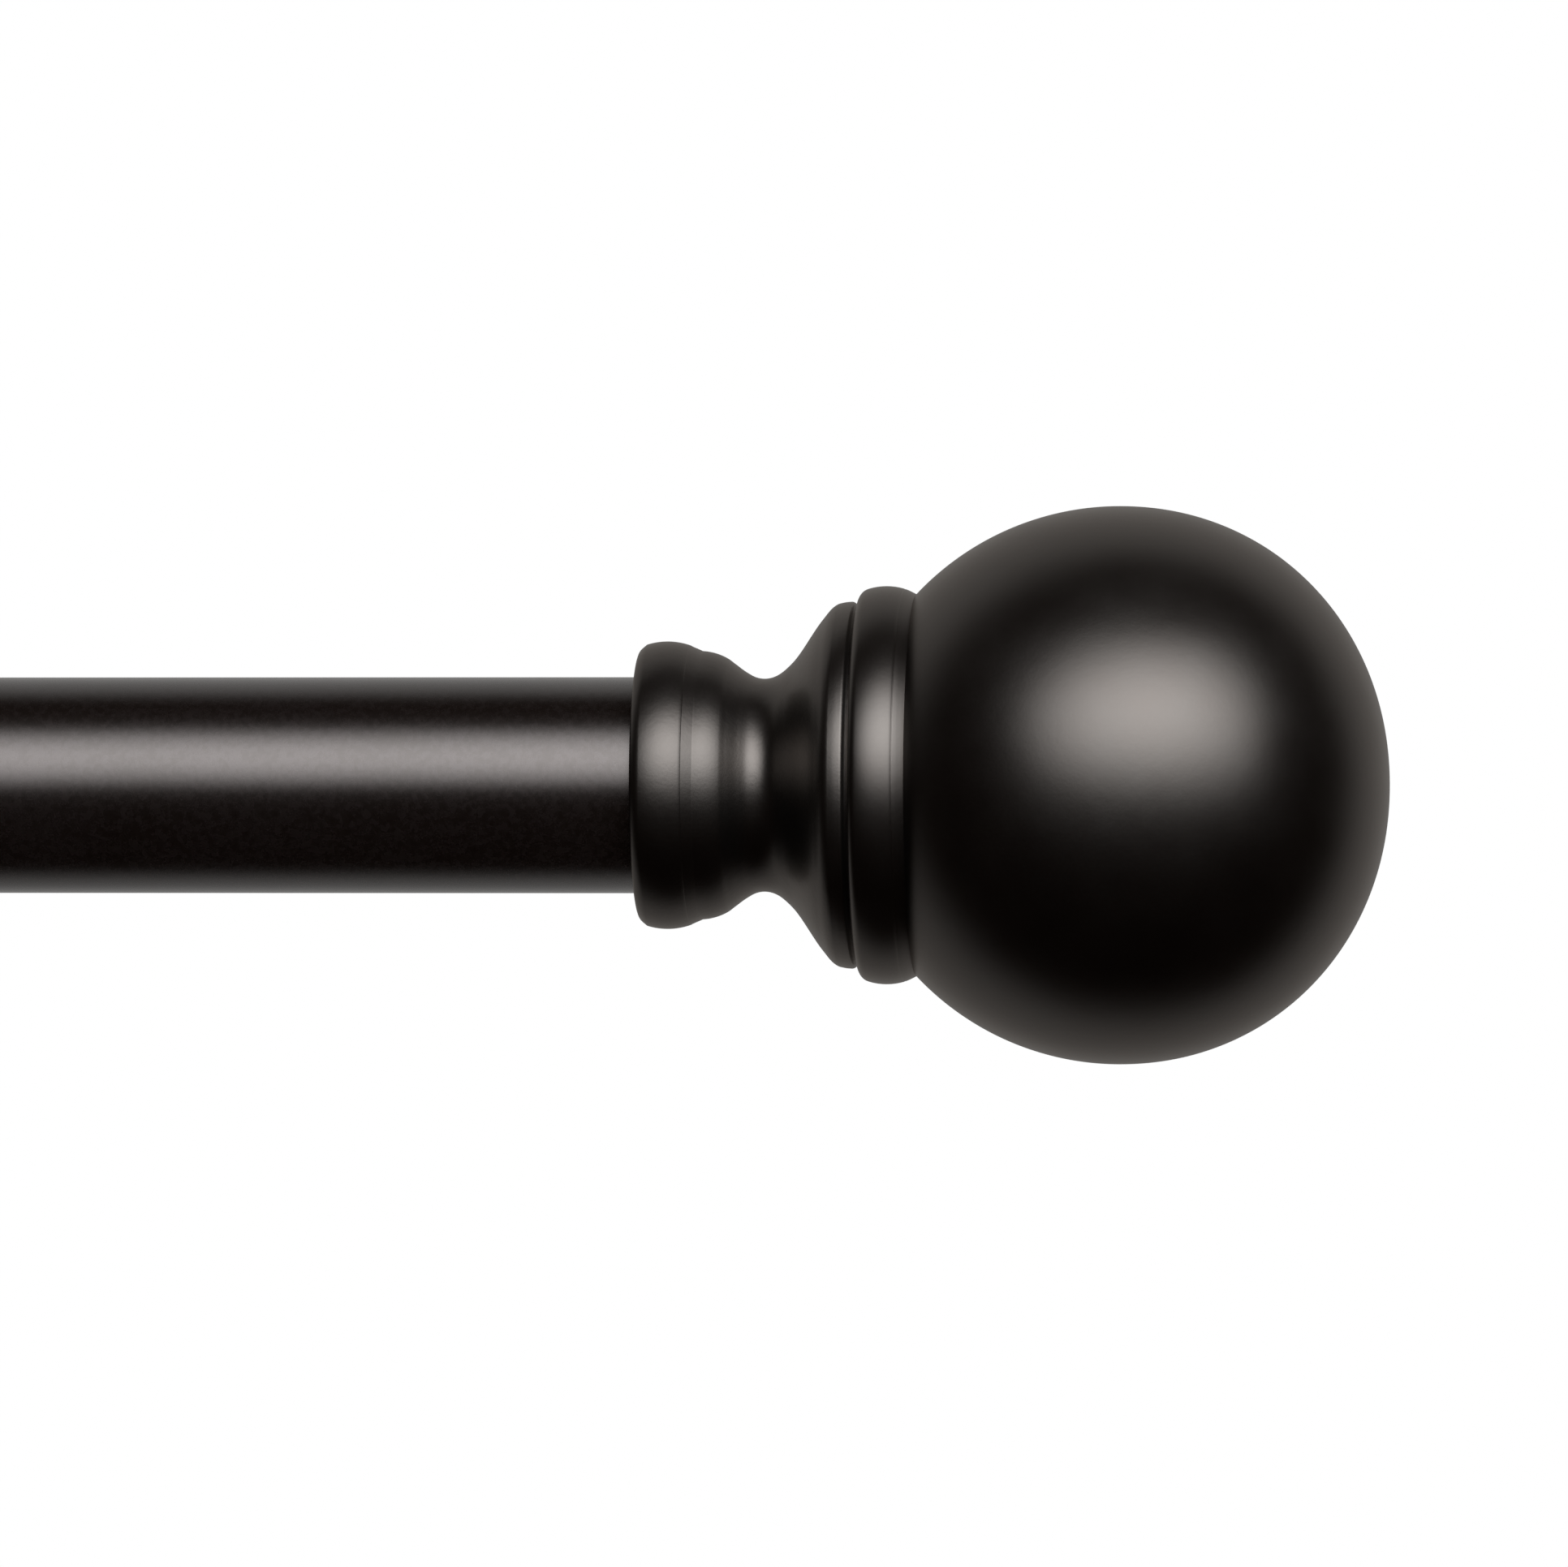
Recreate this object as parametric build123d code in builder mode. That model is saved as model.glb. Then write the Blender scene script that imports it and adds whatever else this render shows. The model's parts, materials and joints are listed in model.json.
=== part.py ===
"""Telescoping curtain rod with two ball finials, on two adjustable wall brackets. Millimetres.

Origin: middle of the four-screw wall pattern, on the wall plane. +X runs along the rod towards the
outer tube's finial, the wall is the plane y = 0 with the room on its -Y side, and +Z is up.
"""

import math
import os

from build123d import *

os.makedirs("parts", exist_ok=True)

# ---- driving dimensions ------------------------------------------------------------------------
ROD_RADIUS = 12.7  # 1 in tube
ROD_CLOSED_LENGTH = 711.2  # 28 in, without finials
TUBE_LENGTH = 660.4  # 26 in, both tubes
TUBE_WALL = 0.8
TUBE_EDGE = 0.2  # chamfer of the tubes' cut ends
INNER_RADIUS = 11.1  # 7/8 in tube
ROD_FROM_WALL = 90.0  # rod axis to wall with the arms pushed in
BRACKET_X = 215.0  # each bracket, left and right of the middle

RUNNING = 0.08  # radial clearance of sliding and turning fits
LOOSE = 0.3  # gap between faces of pieces that only come near each other
EDGE_ROUND = 0.8  # usual round on visible rims

# ---- derived places ----------------------------------------------------------------------------
ROD_END_X = ROD_CLOSED_LENGTH / 2
OUTER_BORE = ROD_RADIUS - TUBE_WALL
INNER_BORE = INNER_RADIUS - TUBE_WALL
OUTER_MOUTH_X = ROD_END_X - TUBE_LENGTH
INNER_HIDDEN_X = -ROD_END_X + TUBE_LENGTH

# ---- plastic pieces of the rod -----------------------------------------------------------------
LINER_LENGTH = 18.0
LINER_LIP = 1.5
LINER_BORE = INNER_RADIUS + RUNNING
GUIDE_LENGTH = 20.0
GUIDE_END = 2.0
GUIDE_HOLE_RADIUS = 9.3
ADAPTER_LENGTH = 14.0

# ---- finial ------------------------------------------------------------------------------------
SOCKET_DEPTH = 10.0
SOCKET_RADIUS = ROD_RADIUS + LOOSE
FINIAL_MOUTH_X = ROD_END_X - SOCKET_DEPTH + LOOSE
NECK_LENGTH = 25.85
BALL_RADIUS = 32.65
BALL_CENTRE = 56.3  # from the mouth
BALL_FULLNESS = 2.06  # exponent of the front half's superellipse, 2 being an ellipse
BALL_TIP = 87.85
RING_END = 32.5  # the shoulder ring meets the ball
JOINING_SCREW_RADIUS = 2.5  # M5
JOINING_SCREW_LENGTH = 26.0  # under its head
JOINING_HEAD_RADIUS = 4.75
JOINING_HEAD_HEIGHT = 3.0
JOINING_HEX_DEPTH = 2.0
JOINING_TIP_CHAMFER = 0.6
JOINING_HEX_RADIUS = 2.3
INSERT_RADIUS = 4.0
INSERT_LENGTH = 12.0
INSERT_HOLE_DEPTH = 15.0
WASHER_THICKNESS = 1.0
WASHER_RADIUS = 6.0
SET_SCREW_RADIUS = 2.0  # M4
SET_SCREW_FROM_MOUTH = 3.1
SET_SCREW_OUTER = 16.4  # its outer end, from the finial's axis
SET_SCREW_HEX_RADIUS = 1.15
SET_SCREW_HEX_DEPTH = 1.6

# ---- bracket -----------------------------------------------------------------------------------
PLATE_RADIUS = 35.0
PLATE_THICKNESS = 3.0
WALL_SCREW_SPACING = 52.0
WALL_SCREW_RADIUS = 2.1
WALL_SCREW_LENGTH = 32.0  # beyond the wall plane
WALL_SCREW_NECK_RADIUS = 2.45
WALL_SCREW_HEAD_RADIUS = 4.2
WALL_SCREW_HEAD_HEIGHT = 2.5
WALL_SCREW_POINT = 4.5
POST_RADIUS = 7.0
POST_COLLAR_RADIUS = 9.0
POST_COLLAR_LENGTH = 12.0
POST_END = 68.0  # from the wall
POST_PLUG_END = 13.0
POST_SCREW_TIP = 12.0
POST_FLANGE_RADIUS = 11.0
POST_FLANGE_END = 5.5
POST_SCREW_RADIUS = 3.0  # M6
POST_SCREW_HEAD_RADIUS = 5.8
POST_SCREW_HEAD_DEPTH = 2.9
POST_SCREW_SUNK = 0.2  # its head below the plate's back
POST_SCREW_CHAMFER = 0.5
POST_HEX_RADIUS = 2.3
POST_HEX_DEPTH = 2.2
ARM_RADIUS = 5.0
ARM_START = 15.0
ARM_CHAMFER = 0.5
CRADLE_RADIUS = ROD_RADIUS + LOOSE
CRADLE_WALL = 3.2
CRADLE_WIDTH = 16.0
CRADLE_RISE = 9.0  # wall tips above the rod's axis
CRADLE_TIP_ROUND = 1.4
CRADLE_BACK = 70.5  # arm end, from the wall
CRADLE_BOSS_RADIUS = 7.5
CRADLE_SCREW_RADIUS = 2.5  # M5
CRADLE_SCREW_HEAD_RADIUS = 4.8
CRADLE_SCREW_HEAD_DEPTH = 2.5
CRADLE_SCREW_DEPTH = 15.0  # threaded hole in the arm's end
CRADLE_SCREW_LENGTH = 14.0  # of its shank in that hole
CRADLE_SCREW_CHAMFER = 0.5
CRADLE_SCREW_SUNK = 0.1  # its head below the cup's face
CRADLE_HEX_RADIUS = 1.8
CRADLE_HEX_DEPTH = 1.8
FRONT_BOSS_RADIUS = 6.0
FRONT_BOSS_END = ROD_FROM_WALL + 19.0
THUMB_SCREW_RADIUS = 2.5  # M5
PAD_THICKNESS = 1.5
THUMB_HEAD_GAP = 2.0
THUMB_HEAD_RADIUS = 6.8
THUMB_HEAD_LENGTH = 6.0
THUMB_HEAD_ROUND = 0.9
THUMB_RING_OUTER = 4.6  # ring groove in the head's face
THUMB_RING_INNER = 4.0
THUMB_RING_DEPTH = 0.5
KNURL_COUNT = 20
KNURL_RADIUS = 0.75
KNURL_DEPTH = 0.3
ROSETTE_RADIUS = 38.0
ROSETTE_END = 17.4
LOCK_SCREW_RADIUS = 2.0  # M4
CROSS_SLOT_LENGTH = 4.2  # of a wall screw's cross recess
CROSS_SLOT_WIDTH = 0.9
CROSS_SLOT_DEPTH = 1.6
CUT_MARGIN = 1.0  # how far a cutting shape runs past the surface it cuts
HOLE_PLAY = 0.1  # radial play of a screw in a plain hole

SIDES = (("left", -1), ("right", 1))


def out_along_rod(sign, distance):
    """Plane with local x outwards along the rod and local y up, its origin on the rod's axis."""
    return Plane(
        origin=(sign * distance, -ROD_FROM_WALL, 0),
        x_dir=(sign, 0, 0),
        z_dir=(0, -sign, 0),
    )


def across_rod(sign, distance):
    """Plane square to the rod at a distance from the middle, facing outwards."""
    return Plane(origin=(sign * distance, -ROD_FROM_WALL, 0), x_dir=(0, sign, 0), z_dir=(sign, 0, 0))


def out_from_wall(x_centre):
    """Plane with local x from the wall into the room and local y up, through a bracket's axis."""
    return Plane(origin=(x_centre, 0, 0), x_dir=(0, -1, 0), z_dir=(-1, 0, 0))


def wall_parallel(x_centre, distance):
    """Plane parallel to the wall at a distance from it, facing the room, local y up."""
    return Plane(origin=(x_centre, -distance, 0), x_dir=(1, 0, 0), z_dir=(0, -1, 0))


def spin_axis(plane):
    """The local x axis of a profile plane, which its profile is revolved about."""
    return Axis(plane.origin, plane.x_dir)


def front_points(count=8):
    """Points of the ball's front half, a superellipse a little fuller than an ellipse."""
    points = [(BALL_CENTRE, BALL_RADIUS)]
    for step in range(1, count):
        angle = math.pi / 2 * (1 - step / count)
        run = math.cos(angle) ** (2 / BALL_FULLNESS)
        rise = math.sin(angle) ** (2 / BALL_FULLNESS)
        points.append((BALL_CENTRE + (BALL_TIP - BALL_CENTRE) * run, BALL_RADIUS * rise))
    return points + [(BALL_TIP, 0.0)]


def save(part, name):
    part.label = name
    export_step(part, f"parts/{name}.step")


# ---- rod ---------------------------------------------------------------------------------------
with BuildPart() as outer_tube:
    with BuildSketch(across_rod(1, OUTER_MOUTH_X)):
        Circle(ROD_RADIUS)
        Circle(OUTER_BORE, mode=Mode.SUBTRACT)
    extrude(amount=TUBE_LENGTH)
    chamfer(outer_tube.edges().filter_by(GeomType.CIRCLE), length=TUBE_EDGE)
save(outer_tube.part, "outer_tube")

with BuildPart() as inner_tube:
    with BuildSketch(across_rod(1, -ROD_END_X)):
        Circle(INNER_RADIUS)
        Circle(INNER_BORE, mode=Mode.SUBTRACT)
    extrude(amount=TUBE_LENGTH)
    chamfer(inner_tube.edges().filter_by(GeomType.CIRCLE), length=TUBE_EDGE)
save(inner_tube.part, "inner_tube")

with BuildPart() as outer_tube_liner:
    with BuildSketch(across_rod(1, OUTER_MOUTH_X - LINER_LIP)):
        Circle(ROD_RADIUS)
        Circle(LINER_BORE, mode=Mode.SUBTRACT)
    extrude(amount=LINER_LIP)
    fillet(outer_tube_liner.edges().group_by(Axis.X)[0].sort_by(SortBy.RADIUS)[-1], radius=EDGE_ROUND)
    with BuildSketch(across_rod(1, OUTER_MOUTH_X)):
        Circle(OUTER_BORE)
        Circle(LINER_BORE, mode=Mode.SUBTRACT)
    extrude(amount=LINER_LENGTH)
save(outer_tube_liner.part, "outer_tube_liner")

with BuildPart() as inner_tube_guide:
    with BuildSketch(across_rod(1, INNER_HIDDEN_X - GUIDE_LENGTH)):
        Circle(OUTER_BORE - RUNNING)
        Circle(INNER_RADIUS, mode=Mode.SUBTRACT)
    extrude(amount=GUIDE_LENGTH)
    with BuildSketch(across_rod(1, INNER_HIDDEN_X)):
        Circle(OUTER_BORE - RUNNING)
        Circle(GUIDE_HOLE_RADIUS, mode=Mode.SUBTRACT)
    extrude(amount=GUIDE_END)
save(inner_tube_guide.part, "inner_tube_guide")

with BuildPart() as inner_tube_adapter:
    with BuildSketch(across_rod(1, -ROD_END_X)):
        Circle(ROD_RADIUS)
        Circle(INNER_RADIUS, mode=Mode.SUBTRACT)
    extrude(amount=ADAPTER_LENGTH)
    fillet(inner_tube_adapter.edges().group_by(Axis.X)[-1].sort_by(SortBy.RADIUS)[-1], radius=EDGE_ROUND)
save(inner_tube_adapter.part, "inner_tube_adapter")

# ---- finials -----------------------------------------------------------------------------------
for side, sign in SIDES:
    profile_plane = out_along_rod(sign, FINIAL_MOUTH_X)
    finial_axis = spin_axis(profile_plane)

    with BuildPart() as finial_neck:
        with BuildSketch(profile_plane):
            with BuildLine():
                mouth = Line((0, SOCKET_RADIUS), (0, 15.5))
                rim = ThreePointArc(mouth @ 1, (0.2, 16.0), (0.75, 16.3))
                bead = ThreePointArc(rim @ 1, (3.3, 16.84), (6.0, 16.35))
                bevel = Polyline(bead @ 1, (7.2, 15.8), (7.5, 15.71))
                shoulder = ThreePointArc(bevel @ 1, (9.1, 15.4), (10.3, 14.86))
                neck = Spline(
                    shoulder @ 1,
                    (12.5, 13.25),
                    (14.8, 12.48),
                    (17.9, 14.26),
                    (21.7, 19.56),
                    (23.6, 21.3),
                    tangents=(shoulder % 1, (1, 0.25)),
                )
                top = Line(neck @ 1, (25.2, 21.5))
                lip = Polyline(top @ 1, (25.5, 21.1), (NECK_LENGTH, 21.1))
                Polyline(
                    lip @ 1,
                    (NECK_LENGTH, 0),
                    (SOCKET_DEPTH, 0),
                    (SOCKET_DEPTH, SOCKET_RADIUS),
                    mouth @ 0,
                )
            make_face()
        revolve(axis=finial_axis)
        with BuildSketch(across_rod(sign, FINIAL_MOUTH_X + SOCKET_DEPTH)):
            Circle(JOINING_SCREW_RADIUS + HOLE_PLAY)
        extrude(amount=NECK_LENGTH - SOCKET_DEPTH, mode=Mode.SUBTRACT)
        set_screw_plane = Plane(
            origin=(sign * (FINIAL_MOUTH_X + SET_SCREW_FROM_MOUTH), -ROD_FROM_WALL, 0),
            x_dir=(1, 0, 0),
            z_dir=(0, 1, 0),
        )
        with BuildSketch(set_screw_plane):
            Circle(SET_SCREW_RADIUS + RUNNING)
        extrude(amount=SET_SCREW_OUTER + CUT_MARGIN, mode=Mode.SUBTRACT)
    save(finial_neck.part, f"finial_neck_{side}")

    with BuildPart() as finial_ball:
        with BuildSketch(profile_plane):
            with BuildLine():
                face = Line((NECK_LENGTH, 0), (NECK_LENGTH, 21.7))
                ring_edge = ThreePointArc(face @ 1, (26.15, 22.5), (26.9, 23.0))
                ring_top = ThreePointArc(ring_edge @ 1, (28.9, 23.31), (31.0, 23.02))
                ring_bead = Polyline(ring_top @ 1, (31.6, 22.8), (32.2, 22.5))
                join_radius = (BALL_RADIUS**2 - (BALL_CENTRE - RING_END) ** 2) ** 0.5
                ring_foot = Line(ring_bead @ 1, (RING_END, join_radius))
                half_chord = 0.5**0.5 * BALL_RADIUS
                back = ThreePointArc(
                    ring_foot @ 1,
                    (BALL_CENTRE - half_chord, half_chord),
                    (BALL_CENTRE, BALL_RADIUS),
                )
                front = Spline(*front_points(), tangents=((1, 0), (0, -1)))
                Line(front @ 1, face @ 0)
            make_face()
        revolve(axis=finial_axis)
        with BuildSketch(across_rod(sign, FINIAL_MOUTH_X + NECK_LENGTH)):
            Circle(INSERT_RADIUS)
        extrude(amount=INSERT_HOLE_DEPTH, mode=Mode.SUBTRACT)
    save(finial_ball.part, f"finial_ball_{side}")

    with BuildPart() as finial_insert:
        with BuildSketch(across_rod(sign, FINIAL_MOUTH_X + NECK_LENGTH)):
            Circle(INSERT_RADIUS)
            Circle(JOINING_SCREW_RADIUS, mode=Mode.SUBTRACT)
        extrude(amount=INSERT_LENGTH)
    save(finial_insert.part, f"finial_insert_{side}")

    with BuildPart() as finial_washer:
        with BuildSketch(across_rod(sign, FINIAL_MOUTH_X + SOCKET_DEPTH - WASHER_THICKNESS)):
            Circle(WASHER_RADIUS)
            Circle(JOINING_SCREW_RADIUS + HOLE_PLAY, mode=Mode.SUBTRACT)
        extrude(amount=WASHER_THICKNESS)
    save(finial_washer.part, f"finial_washer_{side}")

    head_seat_x = FINIAL_MOUTH_X + SOCKET_DEPTH - WASHER_THICKNESS
    with BuildPart() as finial_screw:
        with BuildSketch(across_rod(sign, head_seat_x - JOINING_HEAD_HEIGHT)):
            Circle(JOINING_HEAD_RADIUS)
        extrude(amount=JOINING_HEAD_HEIGHT)
        with BuildSketch(across_rod(sign, head_seat_x - JOINING_HEAD_HEIGHT)):
            RegularPolygon(radius=JOINING_HEX_RADIUS, side_count=6)
        extrude(amount=JOINING_HEX_DEPTH, mode=Mode.SUBTRACT)
        with BuildSketch(across_rod(sign, head_seat_x)):
            Circle(JOINING_SCREW_RADIUS)
        extrude(amount=JOINING_SCREW_LENGTH)
        screw_tip = finial_screw.edges().sort_by(Axis.X)[0 if sign < 0 else -1]
        chamfer(screw_tip, length=JOINING_TIP_CHAMFER)
    save(finial_screw.part, f"finial_screw_{side}")

    with BuildPart() as finial_set_screw:
        with BuildSketch(set_screw_plane.offset(SOCKET_RADIUS)):
            Circle(SET_SCREW_RADIUS)
        extrude(amount=SET_SCREW_OUTER - SOCKET_RADIUS)
        with BuildSketch(set_screw_plane.offset(SET_SCREW_OUTER)):
            RegularPolygon(radius=SET_SCREW_HEX_RADIUS, side_count=6)
        extrude(amount=-SET_SCREW_HEX_DEPTH, mode=Mode.SUBTRACT)
    save(finial_set_screw.part, f"finial_set_screw_{side}")

# ---- brackets ----------------------------------------------------------------------------------
for side, sign in SIDES:
    x_centre = sign * BRACKET_X
    profile_plane = out_from_wall(x_centre)
    post_axis = spin_axis(profile_plane)

    with BuildPart() as wall_plate:
        with BuildSketch(wall_parallel(x_centre, 0)):
            Circle(PLATE_RADIUS)
            with GridLocations(0, WALL_SCREW_SPACING, 1, 2):
                Circle(WALL_SCREW_NECK_RADIUS + HOLE_PLAY, mode=Mode.SUBTRACT)
        extrude(amount=PLATE_THICKNESS)
        front_rim = wall_plate.edges().group_by(Axis.Y)[0].sort_by(SortBy.RADIUS)[-1]
        fillet(front_rim, radius=EDGE_ROUND)
        with BuildSketch(profile_plane):
            with BuildLine():
                Polyline(
                    (0, 0),
                    (0, POST_SCREW_HEAD_RADIUS + HOLE_PLAY),
                    (POST_SCREW_HEAD_DEPTH, POST_SCREW_RADIUS + HOLE_PLAY),
                    (PLATE_THICKNESS, POST_SCREW_RADIUS + HOLE_PLAY),
                    (PLATE_THICKNESS, 0),
                    close=True,
                )
            make_face()
        revolve(axis=post_axis, mode=Mode.SUBTRACT)
    save(wall_plate.part, f"wall_plate_{side}")

    with BuildPart() as post_screw:
        with BuildSketch(profile_plane):
            with BuildLine():
                Polyline(
                    (POST_SCREW_SUNK, 0),
                    (POST_SCREW_SUNK, POST_SCREW_HEAD_RADIUS - POST_SCREW_SUNK),
                    (POST_SCREW_HEAD_DEPTH, POST_SCREW_RADIUS),
                    (POST_SCREW_TIP - POST_SCREW_CHAMFER, POST_SCREW_RADIUS),
                    (POST_SCREW_TIP, POST_SCREW_RADIUS - POST_SCREW_CHAMFER),
                    (POST_SCREW_TIP, 0),
                    close=True,
                )
            make_face()
        revolve(axis=post_axis)
        with BuildSketch(wall_parallel(x_centre, 0)):
            RegularPolygon(radius=POST_HEX_RADIUS, side_count=6)
        extrude(amount=POST_HEX_DEPTH, mode=Mode.SUBTRACT)
    save(post_screw.part, f"post_screw_{side}")

    collar_start = POST_END - POST_COLLAR_LENGTH
    with BuildPart() as post_sleeve:
        with BuildSketch(profile_plane):
            with BuildLine():
                flange = Polyline(
                    (PLATE_THICKNESS, POST_SCREW_RADIUS),
                    (PLATE_THICKNESS, POST_FLANGE_RADIUS),
                    (POST_FLANGE_END - 0.8, POST_FLANGE_RADIUS),
                )
                flange_round = ThreePointArc(
                    flange @ 1,
                    (POST_FLANGE_END - 0.25, POST_FLANGE_RADIUS - 0.25),
                    (POST_FLANGE_END, POST_FLANGE_RADIUS - 0.8),
                )
                tube = Polyline(
                    flange_round @ 1,
                    (POST_FLANGE_END, POST_RADIUS),
                    (collar_start, POST_RADIUS),
                    (collar_start, POST_COLLAR_RADIUS - 1.2),
                )
                collar_back = ThreePointArc(
                    tube @ 1,
                    (collar_start + 0.5, POST_COLLAR_RADIUS - 0.4),
                    (collar_start + 1.6, POST_COLLAR_RADIUS),
                )
                collar = Line(collar_back @ 1, (POST_END - 1.6, POST_COLLAR_RADIUS))
                collar_front = ThreePointArc(
                    collar @ 1,
                    (POST_END - 0.5, POST_COLLAR_RADIUS - 0.4),
                    (POST_END, POST_COLLAR_RADIUS - 1.2),
                )
                Polyline(
                    collar_front @ 1,
                    (POST_END, ARM_RADIUS + RUNNING),
                    (POST_PLUG_END, ARM_RADIUS + RUNNING),
                    (POST_PLUG_END, POST_SCREW_RADIUS),
                    flange @ 0,
                )
            make_face()
        revolve(axis=post_axis)
        lock_plane = Plane(
            origin=(x_centre, -(POST_END - POST_COLLAR_LENGTH / 2), 0),
            x_dir=(1, 0, 0),
            z_dir=(0, 0, -1),
        )
        with BuildSketch(lock_plane):
            Circle(LOCK_SCREW_RADIUS + RUNNING)
        extrude(amount=POST_COLLAR_RADIUS + CUT_MARGIN, mode=Mode.SUBTRACT)
    save(post_sleeve.part, f"post_sleeve_{side}")

    lock_start = ARM_RADIUS + RUNNING
    lock_end = POST_COLLAR_RADIUS - LOOSE
    with BuildPart() as arm_lock_screw:
        with BuildSketch(lock_plane.offset(lock_start)):
            Circle(LOCK_SCREW_RADIUS)
        extrude(amount=lock_end - lock_start)
        with BuildSketch(lock_plane.offset(lock_end)):
            RegularPolygon(radius=SET_SCREW_HEX_RADIUS, side_count=6)
        extrude(amount=-SET_SCREW_HEX_DEPTH, mode=Mode.SUBTRACT)
    save(arm_lock_screw.part, f"arm_lock_screw_{side}")

    with BuildPart() as rosette:
        with BuildSketch(profile_plane):
            with BuildLine():
                skirt = Polyline(
                    (LOOSE, ROSETTE_RADIUS - 2.0),
                    (LOOSE, ROSETTE_RADIUS),
                    (3.4, ROSETTE_RADIUS),
                )
                bead = ThreePointArc(skirt @ 1, (5.2, ROSETTE_RADIUS - 0.6), (6.3, ROSETTE_RADIUS - 2.2))
                step = Line(bead @ 1, (6.5, ROSETTE_RADIUS - 3.2))
                dome = Spline(
                    step @ 1,
                    (9.2, 31.0),
                    (11.0, 22.0),
                    (12.6, 15.0),
                    (15.0, 11.4),
                    tangents=((1, -0.3), (1, -0.15)),
                )
                nose = ThreePointArc(dome @ 1, (16.4, 11.2), (ROSETTE_END, 9.8))
                Polyline(
                    nose @ 1,
                    (ROSETTE_END, POST_RADIUS + LOOSE),
                    (9.6, POST_RADIUS + LOOSE),
                    (9.6, 14.0),
                    (8.8, 22.0),
                    (7.2, 30.6),
                    (5.0, ROSETTE_RADIUS - 2.6),
                    (4.2, ROSETTE_RADIUS - 2.0),
                    skirt @ 0,
                )
            make_face()
        revolve(axis=post_axis)
    save(rosette.part, f"rosette_{side}")

    with BuildPart() as arm:
        with BuildSketch(wall_parallel(x_centre, ARM_START)):
            Circle(ARM_RADIUS)
        extrude(amount=CRADLE_BACK - ARM_START)
        chamfer(arm.edges().filter_by(GeomType.CIRCLE), length=ARM_CHAMFER)
        with BuildSketch(wall_parallel(x_centre, CRADLE_BACK - CRADLE_SCREW_DEPTH)):
            Circle(CRADLE_SCREW_RADIUS)
        extrude(amount=CRADLE_SCREW_DEPTH, mode=Mode.SUBTRACT)
    save(arm.part, f"arm_{side}")

    cup_back = ROD_FROM_WALL - CRADLE_RADIUS
    cup_front = ROD_FROM_WALL + CRADLE_RADIUS
    cup_outer = CRADLE_RADIUS + CRADLE_WALL
    head_face = cup_back - CRADLE_SCREW_SUNK
    head_seat = head_face - CRADLE_SCREW_HEAD_DEPTH
    with BuildPart() as cradle:
        with BuildSketch(across_rod(1, x_centre)):
            Circle(cup_outer)
            Rectangle(2 * cup_outer, CRADLE_RISE, align=(Align.CENTER, Align.MIN))
            with Locations((0, CRADLE_RISE)):
                Rectangle(2 * cup_outer, cup_outer, align=(Align.CENTER, Align.MIN), mode=Mode.SUBTRACT)
            Circle(CRADLE_RADIUS, mode=Mode.SUBTRACT)
            Rectangle(2 * CRADLE_RADIUS, cup_outer, align=(Align.CENTER, Align.MIN), mode=Mode.SUBTRACT)
        extrude(amount=CRADLE_WIDTH / 2, both=True)
        tips = cradle.edges().filter_by(Axis.X).group_by(Axis.Z)[-1]
        fillet(tips, radius=CRADLE_TIP_ROUND)
        with BuildSketch(wall_parallel(x_centre, CRADLE_BACK)):
            Circle(CRADLE_BOSS_RADIUS)
        extrude(amount=cup_back - CRADLE_BACK)
        with BuildSketch(wall_parallel(x_centre, cup_front)):
            Circle(FRONT_BOSS_RADIUS)
        extrude(amount=FRONT_BOSS_END - cup_front)
        with BuildSketch(across_rod(1, x_centre)):
            Circle(CRADLE_RADIUS)
        extrude(amount=CRADLE_WIDTH, both=True, mode=Mode.SUBTRACT)
        boss_rims = cradle.edges().filter_by(GeomType.CIRCLE).group_by(Axis.Y)
        fillet(boss_rims[0], radius=EDGE_ROUND)
        with BuildSketch(profile_plane):
            with BuildLine():
                Polyline(
                    (CRADLE_BACK, 0),
                    (CRADLE_BACK, CRADLE_SCREW_RADIUS + HOLE_PLAY),
                    (head_seat, CRADLE_SCREW_RADIUS + HOLE_PLAY),
                    (head_face, CRADLE_SCREW_HEAD_RADIUS + HOLE_PLAY),
                    (cup_back + CUT_MARGIN, CRADLE_SCREW_HEAD_RADIUS + HOLE_PLAY),
                    (cup_back + CUT_MARGIN, 0),
                    close=True,
                )
            make_face()
        revolve(axis=post_axis, mode=Mode.SUBTRACT)
        with BuildSketch(wall_parallel(x_centre, ROD_FROM_WALL)):
            Circle(THUMB_SCREW_RADIUS + RUNNING)
        extrude(amount=FRONT_BOSS_END - ROD_FROM_WALL + CUT_MARGIN, mode=Mode.SUBTRACT)
    save(cradle.part, f"cradle_{side}")

    screw_tip_y = CRADLE_BACK - CRADLE_SCREW_LENGTH
    with BuildPart() as cradle_screw:
        with BuildSketch(profile_plane):
            with BuildLine():
                Polyline(
                    (screw_tip_y, 0),
                    (screw_tip_y, CRADLE_SCREW_RADIUS - CRADLE_SCREW_CHAMFER),
                    (screw_tip_y + CRADLE_SCREW_CHAMFER, CRADLE_SCREW_RADIUS),
                    (head_seat, CRADLE_SCREW_RADIUS),
                    (head_face, CRADLE_SCREW_HEAD_RADIUS),
                    (head_face, 0),
                    close=True,
                )
            make_face()
        revolve(axis=post_axis)
        with BuildSketch(wall_parallel(x_centre, head_face - CRADLE_HEX_DEPTH)):
            RegularPolygon(radius=CRADLE_HEX_RADIUS, side_count=6)
        extrude(amount=CRADLE_HEX_DEPTH, mode=Mode.SUBTRACT)
    save(cradle_screw.part, f"cradle_screw_{side}")

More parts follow.
